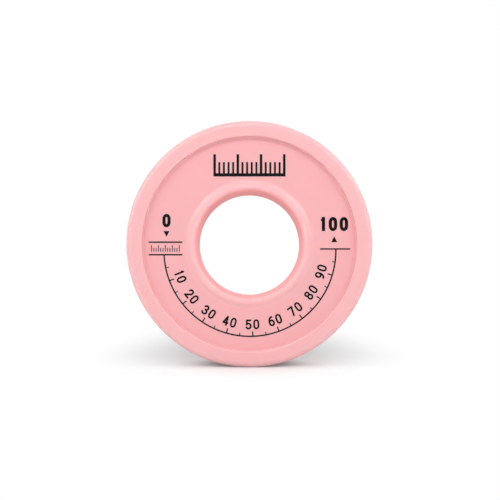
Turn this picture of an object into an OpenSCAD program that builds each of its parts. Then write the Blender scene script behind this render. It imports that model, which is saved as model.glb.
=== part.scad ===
// Thread seal tape roll: a round moulded cover, pressed over a one-flanged reel of thin tape.
// Millimetres, +Z up. The roll stands on its rim, as it does on a shelf: its axis lies along Y,
// its printed face looks towards -Y, and the origin is the middle of the bore.
// Profiles are drawn as [radius, distance back from the front rim] and turned about the axis.

/* [Tape] */
// Width of the tape
tape_w = 12; // [6:0.5:25]
// Thickness of the tape
tape_t = 0.1; // [0.06:0.01:0.2]
// Length of tape on the reel, in metres
tape_len_m = 10; // [4:0.5:20]

/* [Outer turn] */
// Direction from the axis in which the outer turn leaves the winding, counted from +X towards +Z
turn_start = 105; // [0:5:355]
// Angle by which the free end laps over the start of the turn
turn_lap = 30; // [10:5:90]
// Gap under the turn where it leaves the winding
turn_lift = 0.15; // [0.1:0.05:0.4]
// How far the free end stands off the start of the turn
turn_rise = 0.6; // [0.55:0.05:0.9]
// Clearance from the hanging turn to the cover's wall
turn_wall_gap = 0.6; // [0.3:0.1:1]
// Number of straight steps that draw one turn
turn_steps = 96; // [48:8:160]

/* [Bore and hub] */
// Diameter of the bore through the roll
bore_d = 23; // [14:0.5:40]
// Thickness of the cover's hub at its bearing lands
hub_t = 1.1; // [0.9:0.05:2]
// How far the hub is relieved between its lands
hub_relief = 0.15; // [0.1:0.05:0.3]
// Length of the front land on the hub
land_len = 2.4; // [1:0.1:5]
// Radius of the round bead that forms the rear land
bead_r = 0.35; // [0.25:0.05:0.6]
// How far the hub's end lies inside the rear edge
hub_set = 0.3; // [0.1:0.05:0.5]

/* [Cover] */
// Thickness of the outer wall
wall_t = 1.2; // [0.9:0.05:2]
// Thickness of the front web
web_t = 0.8; // [0.7:0.05:1.6]
// Width of the raised front rim
rim_w = 3.45; // [2.8:0.05:6]
// Depth of the recessed face below the rim
recess_d = 1.05; // [0.8:0.05:1.4]
// Width of the raised ring around the bore, to the middle of its slope
boss_w = 1.85; // [1.5:0.05:4]
// How far that ring lies below the rim
boss_set = 0.6; // [0.2:0.05:0.7]

/* [Reel] */
// Thickness of the reel's tube
reel_tube_t = 1; // [0.8:0.05:2]
// Thickness of the reel's flange
flange_t = 1; // [0.8:0.05:2]
// How far the flange lies inside the cover's rear edge
flange_set = 0.55; // [0.5:0.05:1.5]
// Width of the raised ring along the flange's edge
flange_lip_w = 1.5; // [1:0.1:3]
// Width of the raised ring around the reel's bore
reel_boss_w = 1.9; // [1.2:0.1:4]
// Height of both raised rings
ring_h = 0.4; // [0.2:0.05:0.45]
// Depth of the groove that the hub's bead sits in
groove_d = 0.25; // [0.15:0.05:0.35]

/* [Roundings] */
// Outer edge of the front rim
rim_round = 1.2; // [0.6:0.05:1.6]
// Inner edge of the front rim
rim_edge = 0.3; // [0.1:0.05:0.5]
// Inner corner at the foot of the rim
rim_foot = 0.2; // [0.1:0.05:0.25]
// Edge of the ring around the bore, at the bore
boss_round = 0.85; // [0.3:0.05:1]
// Lean of that ring's outer slope at its middle, in degrees from the face; a high ring leans more
boss_lean = 34; // [25:1:70]
// Share of that slope's curves that is hollow, at its foot
boss_hollow = 0.4; // [0.3:0.01:0.6]
// Rear edges of the cover's wall
wall_round = 0.35; // [0.1:0.05:0.4]
// End of the hub
hub_round = 0.3; // [0.1:0.05:0.35]
// Edges of the reel
reel_round = 0.3; // [0.1:0.05:0.35]
// Inner corner between the reel's tube and flange
reel_fillet = 0.2; // [0.1:0.05:0.25]

/* [Clearances] */
// Running clearance between the cover's hub and the reel's bore
run_clear = 0.08; // [0.03:0.01:0.1]
// Clearance beside the tape, to the web and to the flange
side_clear = 0.3; // [0.3:0.05:0.8]
// Clearance from the reel's tube to the web
end_clear = 0.25; // [0.2:0.05:0.6]
// Room around the full winding for the loose outer turn
winding_room = 2.8; // [2.2:0.1:5]
// Gap around the flange through which the tape is drawn out
exit_gap = 1.3; // [0.8:0.1:2]
// Gap left under the winding, on the reel's tube
seat_gap = 0.02; // [0.01:0.01:0.05]

/* [Hidden] */
$fn = 96;
PINK = [0.97, 0.72, 0.73];
WHITE = [0.96, 0.96, 0.95];

bore_r = bore_d / 2;
hub_r = bore_r + hub_t;
reel_bore_r = hub_r + run_clear;
tube_r = reel_bore_r + reel_tube_t;
winding_in_r = tube_r + seat_gap;
winding_r = sqrt(pow(winding_in_r, 2) + tape_len_m * 1000 * tape_t / PI);
wall_in_r = winding_r + winding_room;
cover_r = wall_in_r + wall_t;
rim_in_r = cover_r - rim_w;
boss_r = bore_r + boss_w;
flange_r = wall_in_r - exit_gap;

web_back = recess_d + web_t;
tape_at = web_back + side_clear;
flange_at = tape_at + tape_w + side_clear;
flange_back = flange_at + flange_t;
width = flange_back + flange_set;
tube_at = web_back + end_clear;
hub_end = width - hub_set;
bead_at = hub_end - hub_round - 2 * bead_r;

boss_h = recess_d - boss_set;
lip_room = 0.55;
boss_angle = max(boss_lean, 2 * atan((1 - boss_hollow) * boss_h / (boss_w - lip_room)));
boss_curve = boss_h / (1 - cos(boss_angle));
boss_top_r = boss_r - (1 - boss_hollow) * boss_curve * sin(boss_angle);
boss_edge = min(boss_round, boss_top_r - bore_r - 0.05);
wall_mid_r = wall_in_r + wall_t / 2;
lip_mid_r = flange_r - flange_lip_w / 2;
join = 0.1;
turn_sag = winding_room - turn_lift - turn_rise / 2 - tape_t - turn_wall_gap;
turn_angle = 360 + turn_lap;
turn_count = ceil(turn_steps * turn_angle / 360);

// Turns a profile about the roll's axis.
module turned() {
    rotate([-90, 0, 0])
        translate([0, 0, -width / 2])
            rotate_extrude()
                children();
}

// A rectangle between two radii and two distances from the front.
module band(r1, r2, a1, a2) {
    translate([r1, a1])
        square([r2 - r1, a2 - a1]);
}

// The piece between a square corner and its rounding, on the side of the corner given by sr and sa.
// It is cut from a convex corner, and added to a concave one, and reaches a little way past the corner.
module corner(r, a, sr, sa, radius) {
    translate([r, a])
        difference() {
            translate([sr < 0 ? -radius : -join, sa < 0 ? -radius : -join])
                square(radius + join);
            translate([sr * radius, sa * radius])
                circle(radius);
        }
}

// The ground under a slope that falls outwards from a raised face to a lower one, back to the web's back.
// Its convex curve and its hollow one meet at radius r.
// Its pieces reach a little way under both faces, so that they meet them over an area.
module slope(r, a_top, a_foot, curve, hollow, angle) {
    top_round = (1 - hollow) * curve;
    top_r = r - top_round * sin(angle);
    under_r = top_r - 2 * join;
    foot_round = hollow * curve + 0.01;
    foot_r = r + hollow * curve * sin(angle);
    middle = a_foot - hollow * curve * (1 - cos(angle));
    difference() {
        union() {
            intersection() {
                band(under_r, r + join, a_top, web_back);
                translate([top_r, a_top + top_round - 0.002])
                    circle(top_round);
            }
            band(under_r, foot_r, middle, web_back);
        }
        translate([foot_r, a_foot + 0.002 - foot_round])
            circle(foot_round);
    }
}

// Outer shell: rim, recessed printed face, ring around the bore, outer wall and hub.
module cover() {
    color(PINK)
        turned() {
            difference() {
                union() {
                    difference() {
                        union() {
                            band(rim_in_r, wall_mid_r, 0, web_back);
                            band(bore_r, wall_mid_r, recess_d, web_back);
                            corner(rim_in_r, recess_d, -1, -1, rim_foot);
                        }
                        band(rim_in_r + web_t, cover_r, web_t, width);
                    }
                    band(wall_in_r, cover_r, 0, width);
                    band(bore_r, boss_top_r, boss_set, web_back);
                    slope(boss_r, boss_set, recess_d, boss_curve, boss_hollow, boss_angle);
                    band(bore_r, hub_r, recess_d, web_back + land_len);
                    band(bore_r, hub_r - hub_relief, recess_d, hub_end);
                    translate([hub_r - bead_r, bead_at])
                        circle(bead_r);
                }
                corner(cover_r, 0, -1, 1, rim_round);
                corner(rim_in_r, 0, 1, 1, rim_edge);
                corner(bore_r, boss_set, 1, 1, boss_edge);
                corner(cover_r, width, -1, -1, wall_round);
                corner(wall_in_r, width, 1, -1, wall_round);
                corner(bore_r, hub_end, 1, -1, hub_round);
                corner(hub_r - hub_relief, hub_end, -1, -1, hub_round);
            }
        }
}

// Inner moulding: the tube that the tape is wound on, with one flange, which turns on the cover's hub.
module reel() {
    color(PINK)
        turned() {
            difference() {
                union() {
                    band(reel_bore_r, tube_r, tube_at, flange_at + flange_t / 2);
                    band(reel_bore_r, lip_mid_r, flange_at, flange_back);
                    band(reel_bore_r, reel_bore_r + reel_boss_w, flange_at, flange_back + ring_h);
                    band(flange_r - flange_lip_w, flange_r, flange_at, flange_back + ring_h);
                }
                translate([reel_bore_r - bead_r + groove_d, bead_at])
                    circle(bead_r + run_clear);
                corner(tube_r, tube_at, -1, 1, reel_round);
                corner(reel_bore_r, tube_at, 1, 1, reel_round);
                corner(flange_r, flange_at, -1, 1, reel_round);
                corner(flange_r, flange_back + ring_h, -1, -1, reel_round);
                corner(flange_r - flange_lip_w, flange_back + ring_h, 1, -1, reel_round);
                corner(reel_bore_r + reel_boss_w, flange_back + ring_h, -1, -1, reel_round);
                corner(reel_bore_r, flange_back + ring_h, 1, -1, reel_round);
            }
            corner(tube_r, flange_at, 1, -1, reel_fillet);
        }
}

// The wound tape under its outer turn.
module tape_pack() {
    color(WHITE)
        turned()
            band(winding_in_r, winding_r, tape_at, tape_at + tape_w);
}

// Radius of the outer turn's inner face, an angle on from where it leaves the winding.
// It lies close at the top, hangs away below, and laps over its own start.
function turn_r(angle) =
    winding_r + turn_lift + turn_rise * angle / 360 + turn_sag * (1 - cos(angle)) / 2;

function turn_point(step, out) =
    let (angle = turn_angle * step / turn_count)
    let (dir = turn_start - angle)
    (turn_r(angle) + out) * [cos(dir), sin(dir)];

turn_gap = min([for (step = [0 : turn_count])
    let (angle = turn_lap * step / turn_count)
    turn_r(angle + 360) - turn_r(angle) - tape_t]);

// The last turn of tape, loose around the winding, with its cut free end.
module tape_outer_turn() {
    color(WHITE)
        translate([0, tape_at + tape_w - width / 2, 0])
            rotate([90, 0, 0])
                linear_extrude(tape_w)
                    polygon([
                        for (step = [0 : turn_count]) turn_point(step, tape_t),
                        for (step = [turn_count : -1 : 0]) turn_point(step, 0)
                    ]);
}

echo(str("outer diameter ", 2 * cover_r, ", width ", width, ", winding radius ", winding_r));
echo(str("outer turn: least gap to itself ", turn_gap, ", hangs ", turn_sag, " at the bottom"));

cover();
reel();
tape_pack();
tape_outer_turn();
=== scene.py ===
import math
import random
from collections import namedtuple

import bmesh
import bpy
from bpy.props import (
    FloatProperty,
    FloatVectorProperty,
    IntProperty,
    PointerProperty,
)
from bpy.types import Operator, Panel, PropertyGroup
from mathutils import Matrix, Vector, noise
from mathutils.geometry import delaunay_2d_cdt


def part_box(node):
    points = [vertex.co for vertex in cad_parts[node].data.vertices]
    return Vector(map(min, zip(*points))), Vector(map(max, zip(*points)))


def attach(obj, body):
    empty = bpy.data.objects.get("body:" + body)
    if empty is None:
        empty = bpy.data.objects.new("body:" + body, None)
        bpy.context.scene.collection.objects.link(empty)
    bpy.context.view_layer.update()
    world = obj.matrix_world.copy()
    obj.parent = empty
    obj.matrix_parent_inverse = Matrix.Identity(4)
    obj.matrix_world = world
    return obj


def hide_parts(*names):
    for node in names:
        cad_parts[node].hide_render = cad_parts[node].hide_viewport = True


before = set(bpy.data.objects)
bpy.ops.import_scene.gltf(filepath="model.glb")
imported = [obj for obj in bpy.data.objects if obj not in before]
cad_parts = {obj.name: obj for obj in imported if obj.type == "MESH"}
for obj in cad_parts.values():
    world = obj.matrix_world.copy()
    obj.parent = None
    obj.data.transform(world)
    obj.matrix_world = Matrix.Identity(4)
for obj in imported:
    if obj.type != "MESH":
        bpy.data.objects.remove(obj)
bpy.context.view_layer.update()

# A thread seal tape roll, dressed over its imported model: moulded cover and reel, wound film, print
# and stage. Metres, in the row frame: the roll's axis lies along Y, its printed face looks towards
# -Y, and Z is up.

bl_info = {
    "name": "Thread Seal Tape Roll",
    "version": (1, 0, 0),
    "blender": (4, 5, 0),
    "location": "View3D > Sidebar > Tape Roll",
    "description": "Dresses a thread seal tape roll: moulded cover and reel, wound tape, print and stage",
    "category": "Add Mesh",
}

MM = 0.001
COVER_LOW, COVER_HIGH = (Vector(corner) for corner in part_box("cover"))
PACK_LOW, PACK_HIGH = (Vector(corner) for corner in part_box("tape_pack"))
_, REEL_HIGH = (Vector(corner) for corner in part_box("reel"))

# Radii from the roll's axis at which the plastic's look changes: at the lip of the bore, the crest of
# the raised ring, and the two edges of the cover's web and of the reel's flange. The bore and the webs
# carry painted shade; the crest is paled by wear and a painted highlight
BORE_LIP = 0.0117
RING_CREST = 0.0123
WEB_INNER, WEB_OUTER = 0.0139, 0.0229
FLANGE_INNER, FLANGE_OUTER = 0.0150, 0.0225

# Where the winding ends and its loose turn begins, anticlockwise from +X seen from the front
TAPE_END = math.radians(105)

# Strength and depth of the mould's fine texture, on plastic and on ink
GRAIN_STRENGTH, GRAIN_DEPTH = 0.1, 0.00002

WHITE = (1.0, 1.0, 1.0, 1.0)


# Settings


class PlasticSettings(PropertyGroup):
    """Colour and finish of the two pink mouldings."""

    colour: FloatVectorProperty(
        name="Plastic",
        description="Colour of the moulded plastic",
        subtype="COLOR",
        size=3,
        min=0.0,
        max=1.0,
        default=(0.98, 0.50, 0.515),
    )
    deep: FloatVectorProperty(
        name="Flow tone",
        description="Slightly deeper colour along the flow marks of the moulding",
        subtype="COLOR",
        size=3,
        min=0.0,
        max=1.0,
        default=(0.975, 0.49, 0.505),
    )
    # Painted shade: this factor darkens the cover's recessed web and the reel's flange web, for the light
    # that the thin translucent wall lets through.
    thin: FloatVectorProperty(
        name="Thin wall shade",
        description="How the colour deepens where the wall is thin, as a factor on each channel",
        subtype="COLOR",
        size=3,
        min=0.0,
        max=1.0,
        default=(1.0, 0.915, 0.92),
    )
    # Painted shade: this factor darkens the wall of the bore and makes it redder, as the shaded bore
    # looks.
    bore: FloatVectorProperty(
        name="Bore shade",
        description="How the colour deepens on the wall of the bore, as a factor on each channel",
        subtype="COLOR",
        size=3,
        min=0.0,
        max=1.0,
        default=(1.0, 0.89, 0.87),
    )
    roughness: FloatProperty(
        name="Roughness",
        description="Roughness of the satin surface",
        subtype="FACTOR",
        min=0.0,
        max=1.0,
        default=0.2,
    )
    grain: FloatProperty(
        name="Grain",
        description="Size of the fine texture that the mould leaves",
        unit="LENGTH",
        min=0.00002,
        max=0.001,
        default=0.00012,
    )


class TapeSettings(PropertyGroup):
    """Sizes and colour of the white film."""

    colour: FloatVectorProperty(
        name="Film",
        description="Colour of the tape",
        subtype="COLOR",
        size=3,
        min=0.0,
        max=1.0,
        default=(0.86, 0.86, 0.845),
    )
    length: FloatProperty(
        name="Length",
        description="Length of tape on the reel",
        unit="LENGTH",
        min=1.0,
        max=30.0,
        default=10.0,
    )
    thickness: FloatProperty(
        name="Thickness",
        description="Thickness of the tape",
        unit="LENGTH",
        min=0.00005,
        max=0.0003,
        default=0.0001,
    )
    steps: IntProperty(
        name="Steps",
        description="Straight steps that draw each turn",
        min=24,
        max=192,
        default=72,
    )


class PrintSettings(PropertyGroup):
    """Ink on the recessed face of the cover."""

    ink: FloatVectorProperty(
        name="Ink",
        description="Colour of the print",
        subtype="COLOR",
        size=3,
        min=0.0,
        max=1.0,
        default=(0.005, 0.004, 0.004),
    )
    recess: FloatProperty(
        name="Recess",
        description="Depth of the printed face below the rim",
        unit="LENGTH",
        min=0.0,
        max=0.003,
        default=0.00105,
    )
    film: FloatProperty(
        name="Ink film",
        description="Thickness of the ink",
        unit="LENGTH",
        min=0.000002,
        max=0.0001,
        default=0.000012,
    )
    line: FloatProperty(
        name="Line",
        description="Width of the printed rules and the dial's arc",
        unit="LENGTH",
        min=0.0001,
        max=0.001,
        default=0.0003,
    )
    dial_radius: FloatProperty(
        name="Dial radius",
        description="Radius of the dial's arc",
        unit="LENGTH",
        min=0.010,
        max=0.022,
        default=0.0185,
    )
    dial_drop: FloatProperty(
        name="Dial drop",
        description="How far the arc's centre lies below the bore's",
        unit="LENGTH",
        min=0.0,
        max=0.005,
        default=0.0014,
    )


class StageSettings(PropertyGroup):
    """Floor and camera."""

    # Darker than the apron: near the roll it deepens the cast shadow behind it as painted shade.
    floor: FloatVectorProperty(
        name="Floor",
        description="Colour of the floor",
        subtype="COLOR",
        size=3,
        min=0.0,
        max=1.0,
        default=(0.57, 0.57, 0.57),
    )
    apron: FloatVectorProperty(
        name="Apron",
        description="Colour of the floor in front of the roll, which throws light up at it",
        subtype="COLOR",
        size=3,
        min=0.0,
        max=1.0,
        default=(0.95, 0.95, 0.95),
    )
    distance: FloatProperty(
        name="Distance",
        description="Distance from the camera to the front rim",
        unit="LENGTH",
        min=0.05,
        max=2.0,
        default=0.185,
    )
    drop: FloatProperty(
        name="Eye drop",
        description="How far the camera lies below the bore's axis",
        unit="LENGTH",
        min=-0.1,
        max=0.1,
        default=0.0038,
    )
    lens: FloatProperty(
        name="Lens",
        description="Focal length on a 36 mm wide sensor",
        subtype="DISTANCE_CAMERA",
        min=10.0,
        max=300.0,
        default=62.25,
    )


# Shader building

# Spacing of new nodes in the shader editor
NODE_COLUMN, NODE_ROW, NODE_ROWS = 200, -220, 3


def nodes_of(tree, *kinds):
    """New nodes of these kinds, in a row."""
    made = []
    for place, kind in enumerate(kinds):
        node = tree.nodes.new(kind)
        node.location = (place * NODE_COLUMN, NODE_ROW * (place % NODE_ROWS))
        made.append(node)
    return made


def set_inputs(node, values):
    """Gives a node's named inputs plain values."""
    for label, value in values.items():
        node.inputs[label].default_value = value


def feed(tree, socket, value):
    """Links an input to another node's output, or gives it a plain value."""
    if isinstance(value, bpy.types.NodeSocket):
        tree.links.new(value, socket)
    else:
        socket.default_value = value


def math_node(tree, operation, first, second=0.0, clamp=False):
    """A Math node whose two inputs are sockets or numbers."""
    node = tree.nodes.new("ShaderNodeMath")
    node.operation = operation
    node.use_clamp = clamp
    feed(tree, node.inputs[0], first)
    feed(tree, node.inputs[1], second)
    return node.outputs["Value"]


def mix_colour(tree, factor, first, second, blend="MIX"):
    """A colour Mix node between two colours, by a socket."""
    node = tree.nodes.new("ShaderNodeMix")
    node.data_type = "RGBA"
    node.blend_type = blend
    feed(tree, node.inputs["Factor"], factor)
    for label, value in (("A", first), ("B", second)):
        linked = isinstance(value, bpy.types.NodeSocket)
        feed(tree, node.inputs[label], value if linked else (*value, 1.0))
    return node.outputs["Result"]


def bump(tree, shader, height, strength, distance):
    """Drives a shader's normal with a height."""
    node = tree.nodes.new("ShaderNodeBump")
    set_inputs(node, {"Strength": strength, "Distance": distance})
    tree.links.new(height, node.inputs["Height"])
    tree.links.new(node.outputs["Normal"], shader.inputs["Normal"])


def background_rays(tree):
    """A mask of the rays that show the background: the camera's, and those mirrored or let through."""
    path = tree.nodes.new("ShaderNodeLightPath")
    seen = math_node(tree, "MAXIMUM", path.outputs["Is Camera Ray"], path.outputs["Is Glossy Ray"])
    return math_node(tree, "MAXIMUM", seen, path.outputs["Is Transmission Ray"])


def radius_from_axis(tree, place):
    """How far a place on the object lies from the roll's axis."""
    apart = tree.nodes.new("ShaderNodeSeparateXYZ")
    tree.links.new(place, apart.inputs["Vector"])
    across = math_node(tree, "POWER", apart.outputs["X"], 2.0)
    upward = math_node(tree, "POWER", apart.outputs["Z"], 2.0)
    return math_node(tree, "SQRT", math_node(tree, "ADD", across, upward))


# Shader groups, built at their first use and shared by the materials

GroupRecipe = namedtuple("GroupRecipe", "name inputs outputs build")


def place_group(tree, recipe, values):
    """Puts a group in a material, with its own values."""
    node = tree.nodes.new("ShaderNodeGroup")
    node.node_tree = bpy.data.node_groups.get(recipe.name) or new_group(recipe)
    set_inputs(node, values)
    return node.outputs


def new_group(recipe):
    """A shader node group with named value sockets, built by its recipe."""
    group = bpy.data.node_groups.new(recipe.name, "ShaderNodeTree")
    for label, default in recipe.inputs.items():
        socket = group.interface.new_socket(name=label, in_out="INPUT", socket_type="NodeSocketFloat")
        socket.default_value = default
    for label in recipe.outputs:
        group.interface.new_socket(name=label, in_out="OUTPUT", socket_type="NodeSocketFloat")
    entry, leave = nodes_of(group, "NodeGroupInput", "NodeGroupOutput")
    recipe.build(group, entry.outputs, leave.inputs)
    return group


def build_moulded_grain(group, given, out):
    """Fine mould texture and the broad flow marks of a moulding, from its place on the object."""
    flow_share, streak_share = 0.65, 0.35
    tone_floor, tone_gain = 0.36, 3.4
    noise_sum_middle = 1.0
    links = group.links
    place, fine, flow, streak, polar, flatten = nodes_of(
        group,
        "ShaderNodeTexCoord",
        "ShaderNodeTexNoise",
        "ShaderNodeTexNoise",
        "ShaderNodeTexNoise",
        "ShaderNodeVectorMath",
        "ShaderNodeMapping",
    )
    set_inputs(fine, {"Detail": 2.0, "Roughness": 0.55})
    links.new(place.outputs["Object"], fine.inputs["Vector"])
    links.new(given["Grain"], fine.inputs["Scale"])
    set_inputs(flow, {"Detail": 3.0})
    links.new(place.outputs["Object"], flow.inputs["Vector"])
    links.new(given["Flow"], flow.inputs["Scale"])
    # Flow marks run outwards from the hub: noise over the direction from the axis doesn't change
    # along a radius.
    set_inputs(flatten, {"Scale": (1.0, 0.0, 1.0)})
    polar.operation = "NORMALIZE"
    set_inputs(streak, {"Scale": 7.0, "Detail": 4.0})
    links.new(place.outputs["Object"], flatten.inputs["Vector"])
    links.new(flatten.outputs["Vector"], polar.inputs[0])
    links.new(polar.outputs["Vector"], streak.inputs["Vector"])
    broad = math_node(group, "MULTIPLY", flow.outputs["Fac"], flow_share)
    radial = math_node(group, "MULTIPLY", streak.outputs["Fac"], streak_share)
    tone = math_node(group, "SUBTRACT", math_node(group, "ADD", broad, radial), tone_floor)
    links.new(math_node(group, "MULTIPLY", tone, tone_gain, clamp=True), out["Tone"])
    links.new(fine.outputs["Fac"], out["Height"])
    polish = math_node(group, "ADD", fine.outputs["Fac"], flow.outputs["Fac"])
    links.new(math_node(group, "SUBTRACT", polish, noise_sum_middle), out["Polish"])


def build_worn_and_highlit_ring(group, given, out):
    """A broken ring of paler colour along one turned edge, at a radius from the roll's axis: wear, and a
    painted highlight.
    """
    patch_floor, patch_gain = 0.32, 3.0
    links = group.links
    place, patches = nodes_of(group, "ShaderNodeTexCoord", "ShaderNodeTexNoise")
    radius = radius_from_axis(group, place.outputs["Object"])
    away = math_node(group, "ABSOLUTE", math_node(group, "SUBTRACT", radius, given["Radius"]))
    share = math_node(group, "DIVIDE", away, given["Width"])
    ring = math_node(group, "SUBTRACT", 1.0, share, clamp=True)
    set_inputs(patches, {"Scale": 900.0, "Detail": 5.0})
    links.new(place.outputs["Object"], patches.inputs["Vector"])
    broken = math_node(group, "SUBTRACT", patches.outputs["Fac"], patch_floor)
    broken = math_node(group, "MULTIPLY", broken, patch_gain, clamp=True)
    links.new(math_node(group, "MULTIPLY", ring, broken), out["Mask"])


def build_ring_zone(group, given, out):
    """The zone between two radii from the roll's axis, with soft edges."""
    edge_middle = 0.5
    place = group.nodes.new("ShaderNodeTexCoord")
    radius = radius_from_axis(group, place.outputs["Object"])
    sides = []
    for further, nearer in ((radius, given["Inner"]), (given["Outer"], radius)):
        depth = math_node(group, "SUBTRACT", further, nearer)
        depth = math_node(group, "DIVIDE", depth, given["Blend"])
        sides.append(math_node(group, "ADD", depth, edge_middle, clamp=True))
    group.links.new(math_node(group, "MULTIPLY", *sides), out["Mask"])


MOULDED_GRAIN = GroupRecipe(
    "Moulded grain",
    {"Grain": 8000.0, "Flow": 160.0},
    ("Height", "Tone", "Polish"),
    build_moulded_grain,
)
WORN_AND_HIGHLIT_RING = GroupRecipe("Worn and highlit ring", {"Radius": 0.026, "Width": 0.0006}, ("Mask",), build_worn_and_highlit_ring)
RING_ZONE = GroupRecipe(
    "Ring zone",
    {"Inner": 0.014, "Outer": 0.023, "Blend": 0.0003},
    ("Mask",),
    build_ring_zone,
)


# Materials

WornAndHighlitEdge = namedtuple("WornAndHighlitEdge", "radius width")
PaintedShadeZone = namedtuple("PaintedShadeZone", "inner outer blend tint dull", defaults=(0.0,))


def new_material(name):
    """A material with a Principled shader, its tree and the shader."""
    material = bpy.data.materials.new(name)
    material.use_nodes = True
    tree = material.node_tree
    return material, tree, tree.nodes["Principled BSDF"]


def moulded_plastic(name, plastic, edges, zones):
    """Satin pink plastic: mould grain, flow marks, painted shade in zones, and paler edges of wear and
    painted highlight.
    """
    polish_spread = 0.16
    wear_and_highlight_paleness, wear_and_highlight_cover, rub_dulling = 0.5, 0.3, 0.06
    material, tree, shader = new_material(name)
    grain = place_group(tree, MOULDED_GRAIN, {"Grain": 1.0 / plastic.grain})
    colour = mix_colour(tree, grain["Tone"], plastic.deep, plastic.colour)
    rough = math_node(tree, "MULTIPLY", grain["Polish"], polish_spread)
    rough = math_node(tree, "ADD", rough, plastic.roughness)
    # Each zone multiplies the colour by its tint as painted shade, and may dull the surface.
    for zone in zones:
        reach = {"Inner": zone.inner, "Outer": zone.outer, "Blend": zone.blend}
        mask = place_group(tree, RING_ZONE, reach)["Mask"]
        colour = mix_colour(tree, mask, colour, zone.tint, "MULTIPLY")
        rough = math_node(tree, "ADD", rough, math_node(tree, "MULTIPLY", mask, zone.dull))
    # Paler broken rings along the edges: wear, and a painted highlight.
    pale = [channel + wear_and_highlight_paleness * (1.0 - channel) for channel in plastic.colour]
    for edge in edges:
        mask = place_group(tree, WORN_AND_HIGHLIT_RING, {"Radius": edge.radius, "Width": edge.width})["Mask"]
        colour = mix_colour(tree, math_node(tree, "MULTIPLY", mask, wear_and_highlight_cover), colour, pale)
        duller = math_node(tree, "MULTIPLY", mask, rub_dulling)
        rough = math_node(tree, "ADD", rough, duller, clamp=True)
    tree.links.new(colour, shader.inputs["Base Color"])
    tree.links.new(rough, shader.inputs["Roughness"])
    bump(tree, shader, grain["Height"], GRAIN_STRENGTH, GRAIN_DEPTH)
    set_inputs(
        shader,
        {
            "IOR": 1.49,
            "Subsurface Weight": 0.4,
            "Subsurface Radius": (1.0, 0.3, 0.28),
            "Subsurface Scale": 0.0018,
        },
    )
    return material


def soft_film(tape):
    """White stretched film: fine streaks along its length and a soft sheen."""
    streaks_along, streaks_across = 60.0, 5200.0
    tone_gain, shade_depth = 2.6, 0.9
    smoothest, streak_dulling = 0.36, 0.25
    streak_strength, streak_depth = 0.35, 0.00003
    material, tree, shader = new_material("soft_white_film")
    place, stretch, streak, cloud = nodes_of(
        tree, "ShaderNodeTexCoord", "ShaderNodeMapping", "ShaderNodeTexNoise", "ShaderNodeTexNoise"
    )
    # UV runs in metres: along the tape, then across it.
    set_inputs(stretch, {"Scale": (streaks_along, streaks_across, 1.0)})
    tree.links.new(place.outputs["UV"], stretch.inputs["Vector"])
    tree.links.new(stretch.outputs["Vector"], streak.inputs["Vector"])
    set_inputs(streak, {"Scale": 1.0, "Detail": 3.0})
    set_inputs(cloud, {"Scale": 320.0, "Detail": 2.0})
    tree.links.new(place.outputs["Object"], cloud.inputs["Vector"])
    tone = math_node(tree, "MULTIPLY", streak.outputs["Fac"], cloud.outputs["Fac"])
    tone = math_node(tree, "MULTIPLY", tone, tone_gain, clamp=True)
    shade = [channel * shade_depth for channel in tape.colour]
    tree.links.new(mix_colour(tree, tone, shade, tape.colour), shader.inputs["Base Color"])
    rough = math_node(tree, "MULTIPLY", streak.outputs["Fac"], streak_dulling)
    tree.links.new(math_node(tree, "ADD", rough, smoothest), shader.inputs["Roughness"])
    bump(tree, shader, streak.outputs["Fac"], streak_strength, streak_depth)
    set_inputs(
        shader,
        {
            "IOR": 1.36,
            "Subsurface Weight": 0.2,
            "Subsurface Radius": (1.0, 1.0, 0.95),
            "Subsurface Scale": 0.0006,
        },
    )
    return material


def printing_ink(ink, plastic):
    """Near-black pad print that follows the plastic's grain."""
    wear = 0.006
    finish, polish_spread = 0.5, 0.3
    material, tree, shader = new_material("black_print")
    grain = place_group(tree, MOULDED_GRAIN, {"Grain": 1.0 / plastic.grain, "Flow": 500.0})
    worn = [channel + wear for channel in ink]
    tree.links.new(mix_colour(tree, grain["Tone"], ink, worn), shader.inputs["Base Color"])
    rough = math_node(tree, "MULTIPLY", grain["Polish"], polish_spread)
    tree.links.new(math_node(tree, "ADD", rough, finish), shader.inputs["Roughness"])
    bump(tree, shader, grain["Height"], GRAIN_STRENGTH, GRAIN_DEPTH)
    set_inputs(shader, {"Specular IOR Level": 0.06})
    return material


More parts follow.
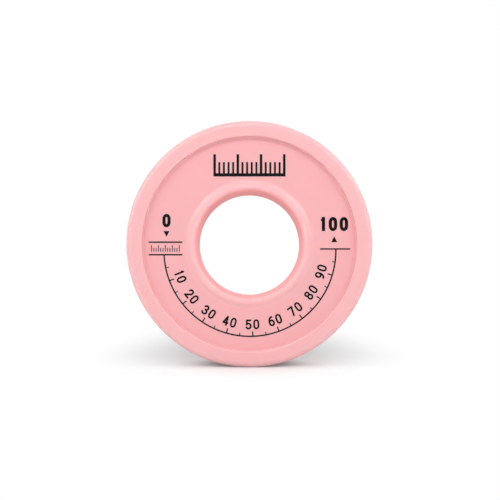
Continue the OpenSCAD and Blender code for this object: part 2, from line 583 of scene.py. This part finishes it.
def pale_floor(stage):
    """A pale floor that keeps the roll's cast shadow, deepened behind the roll by a darker floor colour as
    painted shade, and runs out into the white surround.
    """
    apron_start, apron_whole = -0.003, -0.012
    shadow_middle, backward_rate, forward_rate, foot_rate = 0.025, 0.3, -0.7, 1.5
    fade_start, fade_whole = 0.002, 0.041
    material, tree, shader = new_material("pale_floor")
    set_inputs(shader, {"Roughness": 0.7, "Specular IOR Level": 0.2})
    place, apart, front, join, away, foot, fade, white, mix = nodes_of(
        tree,
        "ShaderNodeTexCoord",
        "ShaderNodeSeparateXYZ",
        "ShaderNodeMapRange",
        "ShaderNodeCombineXYZ",
        "ShaderNodeVectorMath",
        "ShaderNodeVectorMath",
        "ShaderNodeMapRange",
        "ShaderNodeEmission",
        "ShaderNodeMixShader",
    )
    tree.links.new(place.outputs["Object"], apart.inputs["Vector"])
    # Behind the roll the floor is darker than the apron in front; close to the roll, where it does not
    # fade to white, that darker floor deepens the cast shadow as painted shade.
    set_inputs(front, {"From Min": apron_start, "From Max": apron_whole})
    tree.links.new(apart.outputs["Y"], front.inputs["Value"])
    colour = mix_colour(tree, front.outputs["Result"], stage.floor, stage.apron)
    tree.links.new(colour, shader.inputs["Base Color"])
    # The fade is measured from the middle of the shadow behind the roll, and runs on towards the back.
    behind = math_node(tree, "SUBTRACT", apart.outputs["Y"], shadow_middle)
    backward = math_node(tree, "MULTIPLY", behind, backward_rate)
    forward = math_node(tree, "MULTIPLY", behind, forward_rate)
    tree.links.new(apart.outputs["X"], join.inputs["X"])
    tree.links.new(math_node(tree, "MAXIMUM", backward, forward), join.inputs["Y"])
    away.operation = "LENGTH"
    tree.links.new(join.outputs["Vector"], away.inputs[0])
    # Close to the foot the shadow stays whole.
    foot.operation = "LENGTH"
    tree.links.new(place.outputs["Object"], foot.inputs[0])
    near = math_node(tree, "MULTIPLY", foot.outputs["Value"], foot_rate)
    fade.interpolation_type = "SMOOTHSTEP"
    set_inputs(fade, {"From Min": fade_start, "From Max": fade_whole})
    tree.links.new(math_node(tree, "MINIMUM", away.outputs["Value"], near), fade.inputs["Value"])
    seen = math_node(tree, "MULTIPLY", fade.outputs["Result"], background_rays(tree))
    set_inputs(white, {"Color": WHITE, "Strength": 1.0})
    tree.links.new(seen, mix.inputs["Fac"])
    tree.links.new(shader.outputs["BSDF"], mix.inputs[1])
    tree.links.new(white.outputs["Emission"], mix.inputs[2])
    tree.links.new(mix.outputs["Shader"], tree.nodes["Material Output"].inputs["Surface"])
    return material


def white_surround():
    """A world that shows white and lights the roll softly, more strongly from behind it."""
    front_level, back_level = 0.26, 1.0
    front_edge, back_edge = 0.0, 0.5
    world = bpy.data.worlds.new("soft_white_surround")
    world.use_nodes = True
    tree = world.node_tree
    light = tree.nodes["Background"]
    white, mix, place, apart, level = nodes_of(
        tree,
        "ShaderNodeBackground",
        "ShaderNodeMixShader",
        "ShaderNodeTexCoord",
        "ShaderNodeSeparateXYZ",
        "ShaderNodeMapRange",
    )
    tree.links.new(place.outputs["Generated"], apart.inputs["Vector"])
    tree.links.new(apart.outputs["Y"], level.inputs["Value"])
    set_inputs(level, {"From Min": front_edge, "From Max": back_edge})
    set_inputs(level, {"To Min": front_level, "To Max": back_level})
    set_inputs(light, {"Color": WHITE})
    tree.links.new(level.outputs["Result"], light.inputs["Strength"])
    set_inputs(white, {"Color": WHITE, "Strength": 1.0})
    tree.links.new(background_rays(tree), mix.inputs["Fac"])
    tree.links.new(light.outputs["Background"], mix.inputs[1])
    tree.links.new(white.outputs["Background"], mix.inputs[2])
    tree.links.new(mix.outputs["Shader"], tree.nodes["World Output"].inputs["Surface"])
    return world


def ink_material(scene):
    """The print's material, made once."""
    return bpy.data.materials.get("black_print") or printing_ink(
        scene.tape_roll_print.ink, scene.tape_roll_plastic
    )


def film_material(scene):
    """The tape's material, made once."""
    return bpy.data.materials.get("soft_white_film") or soft_film(scene.tape_roll_tape)


# Mesh building

# Edges that bend more than this stay sharp
CREASE = math.radians(40)


def dress(node_name, material):
    """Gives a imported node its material."""
    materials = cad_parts[node_name].data.materials
    materials.clear()
    materials.append(material)


def add_piece(name, mesh, body, material):
    """Links a mesh as a piece that moves with a body."""
    piece = bpy.data.objects.new(name, mesh)
    bpy.context.scene.collection.objects.link(piece)
    mesh.materials.append(material)
    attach(piece, body)
    return piece


def finished_mesh(name, build):
    """A mesh of this name from a finished bmesh, which is freed."""
    mesh = bpy.data.meshes.new(name)
    build.to_mesh(mesh)
    build.free()
    return mesh


def strip_mesh(name, stations, thickness):
    """A closed strip of film along stations, each a list of points across it as (angle, inner radius, y).

    Its UV map runs in metres, along the strip and across it.
    """
    strip = bmesh.new()
    uv = strip.loops.layers.uv.new("Film")
    rows, lengths, run, last = [], [], 0.0, None
    for station in stations:
        inner, outer = [], []
        for angle, radius, y in station:
            way = Vector((math.cos(angle), 0.0, math.sin(angle)))
            inner.append(strip.verts.new(way * radius + Vector((0.0, y, 0.0))))
            outer.append(strip.verts.new(way * (radius + thickness) + Vector((0.0, y, 0.0))))
        rows.append(outer + inner[::-1])
        if last is not None:
            run += (inner[0].co - last).length
        last = inner[0].co.copy()
        lengths.append(run)
    around = len(rows[0])
    for step in range(len(rows) - 1):
        for side in range(around):
            other = (side + 1) % around
            face = strip.faces.new(
                (rows[step][side], rows[step][other], rows[step + 1][other], rows[step + 1][side])
            )
            face.smooth = True
            runs = (lengths[step], lengths[step], lengths[step + 1], lengths[step + 1])
            for loop, along in zip(face.loops, runs):
                loop[uv].uv = (along, loop.vert.co.y)
    strip.faces.new(rows[0][::-1])
    strip.faces.new(rows[-1])
    bmesh.ops.recalc_face_normals(strip, faces=strip.faces)
    for edge in strip.edges:
        if len(edge.link_faces) == 2 and edge.calc_face_angle(0.0) > CREASE:
            edge.smooth = False
    return finished_mesh(name, strip)


# Print

# Straight steps in a part of an ellipse and in a whole one
CURVE_STEPS, RING_STEPS = 16, 28

# Shares of a number's height: the width of a digit and the gap after it; and the width of a one, as
# a share of the others'
DIGIT_WIDTH, DIGIT_GAP, ONE_WIDTH = 0.6, 0.17, 0.62

# A line is closed if its ends lie this close, in millimetres
CLOSED_WITHIN = 1e-6

# A mitred corner reaches no further than half the line's width divided by this
MITRE_LIMIT = 0.5

# Settings of the triangulation: keep what lies inside the outlines, and join points this close, in
# millimetres
KEEP_INSIDE, JOIN_WITHIN = 1, 1e-5

# The middle line of a stroke, and whether its start and its end run on by half the line's width
Stroke = namedtuple("Stroke", "points start_on end_on", defaults=(False, False))


def curve(u, v, half_u, half_v, start, end, steps=CURVE_STEPS):
    """Points along an ellipse between two angles in degrees."""
    turns = [math.radians(start + (end - start) * step / steps) for step in range(steps + 1)]
    return [(u + half_u * math.cos(turn), v + half_v * math.sin(turn)) for turn in turns]


def ring(u, v, half_u, half_v):
    """Points around a whole ellipse, ending where they start."""
    return curve(u, v, half_u, half_v, 0, 360, RING_STEPS)


# Plain round-shouldered digits in a unit box
DIGITS = {
    "0": [
        Stroke(
            curve(0.5, 0.68, 0.5, 0.32, 0, 180)
            + curve(0.5, 0.32, 0.5, 0.32, 180, 360)
            + [(1.0, 0.68)]
        )
    ],
    "1": [Stroke([(0.62, 0.0), (0.62, 1.0)], True, True), Stroke([(0.10, 0.76), (0.62, 0.97)])],
    "2": [
        Stroke(curve(0.5, 0.71, 0.5, 0.29, 168, -28) + [(0.03, 0.02)], True, False),
        Stroke([(0.0, 0.0), (1.0, 0.0)], True, True),
    ],
    "3": [
        Stroke(curve(0.46, 0.76, 0.46, 0.24, 155, -90), True, True),
        Stroke(curve(0.46, 0.26, 0.54, 0.26, 90, -155), True, True),
    ],
    "4": [
        Stroke([(0.74, 0.0), (0.74, 1.0)], True, True),
        Stroke([(0.68, 0.98), (0.02, 0.27)]),
        Stroke([(0.0, 0.25), (1.0, 0.25)], True, True),
    ],
    "5": [
        Stroke([(0.12, 1.0), (0.94, 1.0)], True, True),
        Stroke([(0.13, 1.0), (0.07, 0.50)]),
        Stroke(curve(0.46, 0.31, 0.54, 0.31, 142, -150), True, True),
    ],
    "6": [
        Stroke(ring(0.5, 0.31, 0.5, 0.31)),
        Stroke(curve(0.76, 0.33, 0.76, 0.67, 180, 84), False, True),
    ],
    "7": [Stroke([(0.0, 1.0), (1.0, 1.0)], True, True), Stroke([(0.98, 1.0), (0.30, 0.0)], False, True)],
    "8": [Stroke(ring(0.5, 0.765, 0.44, 0.235)), Stroke(ring(0.5, 0.265, 0.5, 0.265))],
    "9": [
        Stroke(ring(0.5, 0.69, 0.5, 0.31)),
        Stroke(curve(0.24, 0.67, 0.76, 0.67, 0, -96), False, True),
    ],
}


class InkSheet:
    """Flat printed shapes on the recessed face, joined into one film of ink.

    Shapes are drawn in millimetres as (x, z), seen from the front.
    """

    def __init__(self, ink):
        self.outlines = []
        self.back = COVER_LOW.y + ink.recess
        self.front = self.back - ink.film

    def polygon(self, points):
        """One outline, kept anticlockwise."""
        points = [Vector(point) for point in points]
        pairs = zip(points, points[1:] + points[:1])
        if sum(a.x * b.y - b.x * a.y for a, b in pairs) < 0.0:
            points.reverse()
        self.outlines.append(points)

    def bar(self, left, right, low, high):
        """An upright rectangle."""
        self.polygon([(left, low), (right, low), (right, high), (left, high)])

    def arc(self, centre, radius, width, start, end, steps):
        """A curved line between two angles in degrees."""
        self.line(curve(*centre, radius, radius, start, end, steps), width)

    def ray(self, centre, inner, outer, width, angle):
        """A straight tick between two radii."""
        turn = math.radians(angle)
        way = Vector((math.cos(turn), math.sin(turn)))
        self.line([Vector(centre) + way * inner, Vector(centre) + way * outer], width)

    def line(self, points, width, start_on=False, end_on=False):
        """A line of even width through points, with mitred corners."""
        points = [Vector(point) for point in points]
        closed = len(points) > 2 and (points[0] - points[-1]).length < CLOSED_WITHIN
        ways = [(b - a).normalized() for a, b in zip(points, points[1:])]
        if start_on:
            points[0] = points[0] - ways[0] * width / 2
        if end_on:
            points[-1] = points[-1] + ways[-1] * width / 2
        sides = []
        for place, point in enumerate(points):
            before = ways[place - 1] if place or closed else ways[0]
            after = ways[place] if place < len(ways) else ways[0] if closed else ways[-1]
            across = Vector((-before.y - after.y, before.x + after.x)).normalized()
            reach = width / 2 / max(MITRE_LIMIT, across.dot(Vector((-after.y, after.x))))
            sides.append((point + across * reach, point - across * reach))
        for (left, right), (next_left, next_right) in zip(sides, sides[1:]):
            self.polygon([right, next_right, next_left, left])

    def number(self, digits, centre, height, weight, turn=0.0):
        """A plain number of a given height and line width, turned anticlockwise by an angle in degrees."""
        tall, wide, gap = height - weight, height * DIGIT_WIDTH - weight, height * DIGIT_GAP
        widths = [wide * ONE_WIDTH if digit == "1" else wide for digit in digits]
        left = -(sum(widths) + (len(digits) - 1) * (gap + weight)) / 2
        cosine, sine = math.cos(math.radians(turn)), math.sin(math.radians(turn))
        for digit, step in zip(digits, widths):
            for stroke in DIGITS[digit]:
                placed = []
                for u, v in stroke.points:
                    x, z = left + u * step, (v - 0.5) * tall
                    placed.append((centre[0] + x * cosine - z * sine, centre[1] + x * sine + z * cosine))
                self.line(placed, weight, stroke.start_on, stroke.end_on)
            left += step + gap + weight

    def mesh(self, name):
        """One mesh of all the shapes, with overlaps joined."""
        points = [point for outline in self.outlines for point in outline]
        faces, first = [], 0
        for outline in self.outlines:
            faces.append(list(range(first, first + len(outline))))
            first += len(outline)
        flat, _, triangles, _, _, sources = delaunay_2d_cdt(points, [], faces, KEEP_INSIDE, JOIN_WITHIN)
        sheet = bmesh.new()
        front = [sheet.verts.new((point.x * MM, self.front, point.y * MM)) for point in flat]
        for triangle, source in zip(triangles, sources):
            if source:
                sheet.faces.new([front[index] for index in triangle])
        bmesh.ops.delete(sheet, geom=[vert for vert in front if not vert.link_faces], context="VERTS")
        rims = [edge for edge in sheet.edges if len(edge.link_faces) == 1]
        made = bmesh.ops.extrude_edge_only(sheet, edges=rims)["geom"]
        for vert in (item for item in made if isinstance(item, bmesh.types.BMVert)):
            vert.co.y = self.back
        bmesh.ops.recalc_face_normals(sheet, faces=sheet.faces)
        if sum(face.normal.y * face.calc_area() for face in sheet.faces) > 0.0:
            bmesh.ops.reverse_faces(sheet, faces=sheet.faces)
        return finished_mesh(name, sheet)


def add_print(name, sheet, scene):
    """Adds a sheet of ink to the cover."""
    add_piece(name, sheet.mesh(name), "cover", ink_material(scene))


# Pieces and stage


class TAPEROLL_OT_cover(Operator):
    """Gives the moulded cover its plastic"""

    bl_idname = "tape_roll.cover"
    bl_label = "Cover"

    # How far in from the outer wall the rim is paled by wear and a painted highlight
    rim_inset = 0.0005
    # Less than no radius, so that the bore's zone of painted shade has no inner edge
    inside_axis = -0.001

    def execute(self, context):
        plastic = context.scene.tape_roll_plastic
        # The rim's outer edge and the raised ring's crest are paled: wear, and a painted highlight.
        edges = (
            WornAndHighlitEdge(COVER_HIGH.x - self.rim_inset, width=0.0009),
            WornAndHighlitEdge(RING_CREST, width=0.0006),
        )
        # Painted shade on the wall of the bore and on the thin recessed web.
        zones = (
            PaintedShadeZone(self.inside_axis, BORE_LIP, blend=0.0003, tint=plastic.bore, dull=0.45),
            PaintedShadeZone(WEB_INNER, WEB_OUTER, blend=0.0006, tint=plastic.thin),
        )
        dress("cover", moulded_plastic("pink_cover_plastic", plastic, edges, zones))
        return {"FINISHED"}


class TAPEROLL_OT_reel(Operator):
    """Gives the moulded reel its plastic"""

    bl_idname = "tape_roll.reel"
    bl_label = "Reel"

    # How far in from its edge the flange is paled in broken patches
    flange_inset = 0.0002

    def execute(self, context):
        plastic = context.scene.tape_roll_plastic
        edges = (WornAndHighlitEdge(REEL_HIGH.x - self.flange_inset, width=0.0006),)
        # Painted shade on the flange's thin web.
        zones = (PaintedShadeZone(FLANGE_INNER, FLANGE_OUTER, blend=0.0005, tint=plastic.thin),)
        dress("reel", moulded_plastic("pink_reel_plastic", plastic, edges, zones))
        return {"FINISHED"}


class TAPEROLL_OT_winding(Operator):
    """Winds the tape on the reel as one continuous strip, with a real winding's uneven edge"""

    bl_idname = "tape_roll.winding"
    bl_label = "Winding"

    # How far the edge of the film wanders, and how fast that changes by the turn and around the roll
    wander = 0.00007
    wander_by_turn, wander_around = 0.31, 0.25
    # How far one turn lies off the next
    scatter = 0.000035
    scatter_seed = 12
    # Share of the film's thickness that is drawn, which leaves a hair between the turns
    drawn_share = 0.93

    def execute(self, context):
        tape = context.scene.tape_roll_tape
        outer = PACK_HIGH.x
        inner = math.sqrt(outer**2 - tape.length * tape.thickness / math.pi)
        turns = (outer - inner) / tape.thickness
        count = round(turns * tape.steps)
        chance = random.Random(self.scatter_seed)
        turn_shift = [chance.uniform(-self.scatter, self.scatter) for _ in range(int(turns) + 2)]
        stations = []
        for step in range(count + 1):
            turned = step / tape.steps
            angle = TAPE_END + 2 * math.pi * ((count - step) / tape.steps)
            radius = max(inner + (outer - inner) * step / count - tape.thickness, inner)
            whole, part = int(turned), turned - int(turned)
            shift = turn_shift[whole] * (1 - part) + turn_shift[whole + 1] * part
            place = (
                turned * self.wander_by_turn,
                math.cos(angle) * self.wander_around,
                math.sin(angle) * self.wander_around,
            )
            shift += self.wander * noise.noise(place)
            stations.append([(angle, radius, PACK_LOW.y + shift), (angle, radius, PACK_HIGH.y + shift)])
        mesh = strip_mesh("tape_winding", stations, tape.thickness * self.drawn_share)
        piece = add_piece("tape_winding", mesh, "reel", film_material(context.scene))
        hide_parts("tape_pack")
        return {"FINISHED"}


class TAPEROLL_OT_outer_turn(Operator):
    """Lays the loose last turn around the winding, with its cut free end"""

    bl_idname = "tape_roll.outer_turn"
    bl_label = "Outer turn"

    # The turn's own course: how far it laps, lifts, rises and hangs, and how soon it lifts
    lap = math.radians(30)
    lift = 0.00015
    lift_over = math.radians(25)
    rise = 0.0006
    sag = 0.00165
    # How much the film flutters, how soon, and how fast that changes along the turn and across it
    flutter = 0.00009
    flutter_over = math.radians(60)
    flutter_along, flutter_across, flutter_seed = 2.2, 1.6, 3.0
    # The two edges flutter faster, each in its own way, and the middle of the film doesn't
    edge_along, edge_apart, edge_seed = 5.0, 7.0, 8.0
    edge_power = 4
    # Straight steps along the turn, and points across the film
    steps = 260
    columns = 9

    def execute(self, context):
        tape = context.scene.tape_roll_tape
        stations = []
        for step in range(self.steps + 1):
            gone = (2 * math.pi + self.lap) * step / self.steps
            radius = PACK_HIGH.x + self.rise * gone / (2 * math.pi) + self.sag * (1 - math.cos(gone)) / 2
            radius += self.lift * min(1.0, gone / self.lift_over)
            loose = min(1.0, gone / self.flutter_over) * self.flutter
            row = []
            for column in range(self.columns):
                across = column / (self.columns - 1)
                y = PACK_LOW.y + (PACK_HIGH.y - PACK_LOW.y) * across
                film_place = (gone * self.flutter_along, across * self.flutter_across, self.flutter_seed)
                edge_place = (gone * self.edge_along, round(across) * self.edge_apart, self.edge_seed)
                film = noise.noise(film_place) * loose
                edge = abs(2 * across - 1) ** self.edge_power * noise.noise(edge_place) * loose
                row.append((TAPE_END - gone, radius + film + edge, y))
            stations.append(row)
        mesh = strip_mesh("tape_outer_turn_film", stations, tape.thickness)
        piece = add_piece("tape_outer_turn_film", mesh, "outer_turn", film_material(context.scene))
        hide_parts("tape_outer_turn")
        return {"FINISHED"}


class TAPEROLL_OT_print_rules(Operator):
    """Prints the plain rules, the fine scale between them and the two pointers"""

    bl_idname = "tape_roll.print_rules"
    bl_label = "Rules"

    # In millimetres: each rule's left end, right end and height
    rules = ((-21.7, -14.45, 0.34), (-21.7, -14.45, -2.36), (15.2, 21.7, -1.12))
    # The fine scale between the two rules at the left: every third tick is long
    ticks, first_tick, tick_step, tick_foot = 13, -21.1, 0.5, -1.7
    long_every, long_tick, short_tick, half_tick = 3, 1.4, 0.8, 0.09
    # Each pointer's place across, the height of its base and that of its tip
    pointers = ((-17.85, 2.75, 1.5), (18.25, 0.35, 1.6))
    half_pointer = 0.65

    def execute(self, context):
        ink = context.scene.tape_roll_print
        half = ink.line / MM / 2
        sheet = InkSheet(ink)
        for left, right, height in self.rules:
            sheet.bar(left, right, height - half, height + half)
        for tick in range(self.ticks):
            x = self.first_tick + tick * self.tick_step
            tall = self.short_tick if tick % self.long_every else self.long_tick
            sheet.bar(x - self.half_tick, x + self.half_tick, self.tick_foot, self.tick_foot + tall)
        for x, base, tip in self.pointers:
            sheet.polygon([(x - self.half_pointer, base), (x + self.half_pointer, base), (x, tip)])
        add_print("print_rules", sheet, context.scene)
        return {"FINISHED"}


class TAPEROLL_OT_print_dial(Operator):
    """Prints the arc, its ticks and its plain numbers"""

    bl_idname = "tape_roll.print_dial"
    bl_label = "Dial"

    # The arc: its centre's place across in millimetres, its two ends in degrees, and its straight steps
    across = 0.1
    first, last = 182.9, 361.0
    steps = 120
    # The ticks: spaces between them, and length and width of a long and of a short one in millimetres
    spaces, space_value = 20, 5
    long_tick, long_width = 1.05, 0.26
    short_tick, short_width = 0.65, 0.2
    # Numbers along the arc: how far inside it they stand, their height and the width of their lines
    number_inset, number_height, number_weight = 2.55, 2.15, 0.38
    # Numbers at the two ends: digits, place, height and width of the lines
    end_numbers = (("0", (-17.85, 5.0), 2.9, 0.66), ("100", (18.2, 4.25), 3.05, 0.7))
    # At this angle in degrees a number stands upright
    upright = 270

    def execute(self, context):
        ink = context.scene.tape_roll_print
        radius = ink.dial_radius / MM
        centre = (self.across, -ink.dial_drop / MM)
        sheet = InkSheet(ink)
        sheet.arc(centre, radius, ink.line / MM, self.first, self.last, self.steps)
        for mark in range(1, self.spaces):
            angle = self.first + (self.last - self.first) * mark / self.spaces
            if mark % 2:
                sheet.ray(centre, radius - self.short_tick, radius, self.short_width, angle)
                continue
            sheet.ray(centre, radius - self.long_tick, radius, self.long_width, angle)
            turn = math.radians(angle)
            at = radius - self.number_inset
            middle = (centre[0] + at * math.cos(turn), centre[1] + at * math.sin(turn))
            value = str(mark * self.space_value)
            sheet.number(value, middle, self.number_height, self.number_weight, angle - self.upright)
        for digits, middle, height, weight in self.end_numbers:
            sheet.number(digits, middle, height, weight)
        add_print("print_dial", sheet, context.scene)
        return {"FINISHED"}


class TAPEROLL_OT_print_scale(Operator):
    """Prints the bold full-size millimetre scale above the bore"""

    bl_idname = "tape_roll.print_scale"
    bl_label = "Scale"

    # In millimetres: the scale's length, its foot, and the base line that the marks stand in
    length, foot, base = 15, 14.5, 0.7
    sunk = 0.3
    # Height and half the width of every fifth mark and of the others
    long_every, long_mark, half_long = 5, 4.8, 0.27
    short_mark, half_short = 3.1, 0.21

    def execute(self, context):
        sheet = InkSheet(context.scene.tape_roll_print)
        reach = self.length / 2 + self.half_long
        sheet.bar(-reach, reach, self.foot, self.foot + self.base)
        for mark in range(self.length + 1):
            x = mark - self.length / 2
            short = mark % self.long_every
            tall = self.short_mark if short else self.long_mark
            half = self.half_short if short else self.half_long
            sheet.bar(x - half, x + half, self.foot + self.sunk, self.foot + tall)
        add_print("print_scale", sheet, context.scene)
        return {"FINISHED"}


class TAPEROLL_OT_stage(Operator):
    """Sets the floor, the soft lamps, the white surround and the camera"""

    bl_idname = "tape_roll.stage"
    bl_label = "Stage"

    floor_radius, floor_segments = 3.0, 96
    # What the lamps point at
    aim = Vector((0.0, 0.0, -0.004))
    # The camera's turns about X and Z, which set the roll in the picture
    tilt = math.radians(90.757)
    pan = math.radians(-0.037)

    def execute(self, context):
        scene = context.scene
        stage = scene.tape_roll_stage
        self.floor(scene, stage)
        scene.world = white_surround()
        self.lamp(scene, "front_key", (0.0, -0.495, 0.495), width=0.15, watts=0.365)
        for side, hand in ((-1, "left"), (1, "right")):
            front, flank = (side * 0.369, -0.439, 0.4015), (side * 0.596, -0.217, 0.296)
            self.lamp(scene, hand + "_front_softbox", front, width=0.40, watts=1.375)
            self.lamp(scene, hand + "_side_softbox", flank, width=0.40, watts=0.68)
        self.camera(scene, stage)
        scene.view_settings.view_transform = "Standard"
        return {"FINISHED"}

    def floor(self, scene, stage):
        """Lays the floor under the roll."""
        sheet = bmesh.new()
        bmesh.ops.create_circle(
            sheet, cap_ends=True, radius=self.floor_radius, segments=self.floor_segments
        )
        mesh = finished_mesh("floor", sheet)
        mesh.materials.append(pale_floor(stage))
        floor = bpy.data.objects.new("floor", mesh)
        floor.location.z = COVER_LOW.z
        scene.collection.objects.link(floor)

    def lamp(self, scene, name, place, width, watts):
        """Hangs a square softbox that faces the roll."""
        light = bpy.data.lights.new(name, "AREA")
        light.shape = "SQUARE"
        light.size = width
        light.energy = watts
        lamp = bpy.data.objects.new(name, light)
        lamp.location = place
        lamp.rotation_euler = (self.aim - Vector(place)).to_track_quat("-Z", "Y").to_euler()
        scene.collection.objects.link(lamp)

    def camera(self, scene, stage):
        """Sets the camera in front of the printed face."""
        view = bpy.data.cameras.new("camera")
        view.sensor_width = 36.0
        view.lens = stage.lens
        view.clip_start = 0.01
        view.clip_end = 20.0
        camera = bpy.data.objects.new("camera", view)
        camera.location = (0.0, COVER_LOW.y - stage.distance, -stage.drop)
        camera.rotation_euler = (self.tilt, 0.0, self.pan)
        scene.collection.objects.link(camera)
        scene.camera = camera


class TAPEROLL_PT_pieces(Panel):
    """Lists the roll's pieces and settings"""

    bl_idname = "TAPEROLL_PT_pieces"
    bl_label = "Tape Roll"
    bl_space_type = "VIEW_3D"
    bl_region_type = "UI"
    bl_category = "Tape Roll"

    def draw(self, context):
        for settings, operators in SECTIONS:
            box = self.layout.box()
            group = getattr(context.scene, settings)
            for name in SETTINGS[settings].__annotations__:
                box.prop(group, name)
            for operator in operators:
                box.operator(operator.bl_idname)


SECTIONS = (
    ("tape_roll_plastic", (TAPEROLL_OT_cover, TAPEROLL_OT_reel)),
    ("tape_roll_tape", (TAPEROLL_OT_winding, TAPEROLL_OT_outer_turn)),
    ("tape_roll_print", (TAPEROLL_OT_print_rules, TAPEROLL_OT_print_dial, TAPEROLL_OT_print_scale)),
    ("tape_roll_stage", (TAPEROLL_OT_stage,)),
)
SETTINGS = {
    "tape_roll_plastic": PlasticSettings,
    "tape_roll_tape": TapeSettings,
    "tape_roll_print": PrintSettings,
    "tape_roll_stage": StageSettings,
}
CLASSES = (
    *SETTINGS.values(),
    *(operator for _, operators in SECTIONS for operator in operators),
    TAPEROLL_PT_pieces,
)


def register():
    for cls in CLASSES:
        bpy.utils.register_class(cls)
    for name, group in SETTINGS.items():
        setattr(bpy.types.Scene, name, PointerProperty(type=group))


def unregister():
    for name in SETTINGS:
        delattr(bpy.types.Scene, name)
    for cls in reversed(CLASSES):
        bpy.utils.unregister_class(cls)


def main():
    """Builds the roll and its stage."""
    register()
    bpy.ops.tape_roll.cover()
    bpy.ops.tape_roll.reel()
    bpy.ops.tape_roll.winding()
    bpy.ops.tape_roll.outer_turn()
    bpy.ops.tape_roll.print_rules()
    bpy.ops.tape_roll.print_dial()
    bpy.ops.tape_roll.print_scale()
    bpy.ops.tape_roll.stage()


if __name__ == "__main__":
    main()
